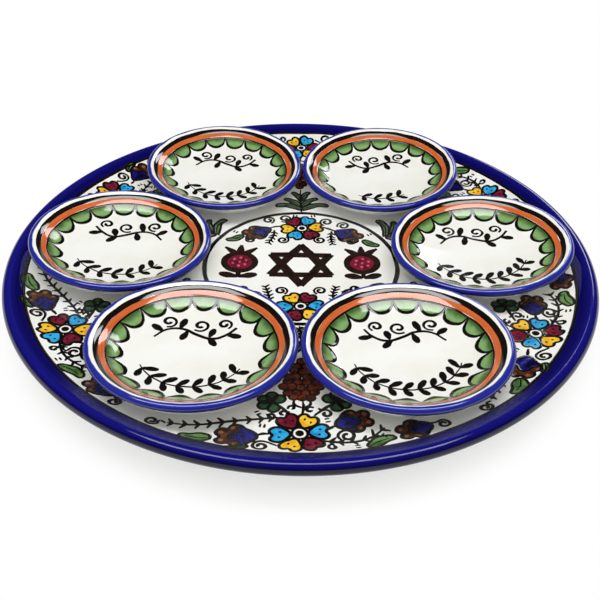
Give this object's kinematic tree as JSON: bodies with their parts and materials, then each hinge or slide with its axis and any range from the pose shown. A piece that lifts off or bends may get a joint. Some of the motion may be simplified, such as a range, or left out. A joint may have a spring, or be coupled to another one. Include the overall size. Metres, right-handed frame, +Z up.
{
  "type": "seder plate",
  "caption": "Round glazed ceramic platter with a rolled rim and foot ring, carrying a ring of small loose footed dishes for the foods of the Passover table.",
  "frame": {"origin": "middle of the platter's foot ring, on the plane that it stands on", "axes": "+Z up out of the platter, +X towards the shank bone dish, the viewer of the picture on the -Y side"},
  "size_m": [0.3294, 0.3294, 0.0326],
  "materials": {
    "platter_glaze": "glossy white glaze with a cobalt blue rim and painted flowers",
    "dish_glaze": "glossy white glaze with blue, orange and green painted bands"
  },
  "bodies": {
    "platter": {"platter": "platter_glaze"},
    "shank_bone_dish": {"shank_bone_dish": "dish_glaze"},
    "egg_dish": {"egg_dish": "dish_glaze"},
    "horseradish_dish": {"horseradish_dish": "dish_glaze"},
    "parsley_dish": {"parsley_dish": "dish_glaze"},
    "charoset_dish": {"charoset_dish": "dish_glaze"},
    "bitter_herb_dish": {"bitter_herb_dish": "dish_glaze"}
  },
  "joints": [
    {"name": "shank_bone_dish_lift", "type": "slide", "parent": "platter", "child": "shank_bone_dish", "axis": [0, 0, 1], "range_m": [0, 0.06]},
    {"name": "egg_dish_lift", "type": "slide", "parent": "platter", "child": "egg_dish", "axis": [0, 0, 1], "range_m": [0, 0.06]},
    {"name": "horseradish_dish_lift", "type": "slide", "parent": "platter", "child": "horseradish_dish", "axis": [0, 0, 1], "range_m": [0, 0.06]},
    {"name": "parsley_dish_lift", "type": "slide", "parent": "platter", "child": "parsley_dish", "axis": [0, 0, 1], "range_m": [0, 0.06]},
    {"name": "charoset_dish_lift", "type": "slide", "parent": "platter", "child": "charoset_dish", "axis": [0, 0, 1], "range_m": [0, 0.06]},
    {"name": "bitter_herb_dish_lift", "type": "slide", "parent": "platter", "child": "bitter_herb_dish", "axis": [0, 0, 1], "range_m": [0, 0.06]}
  ]
}
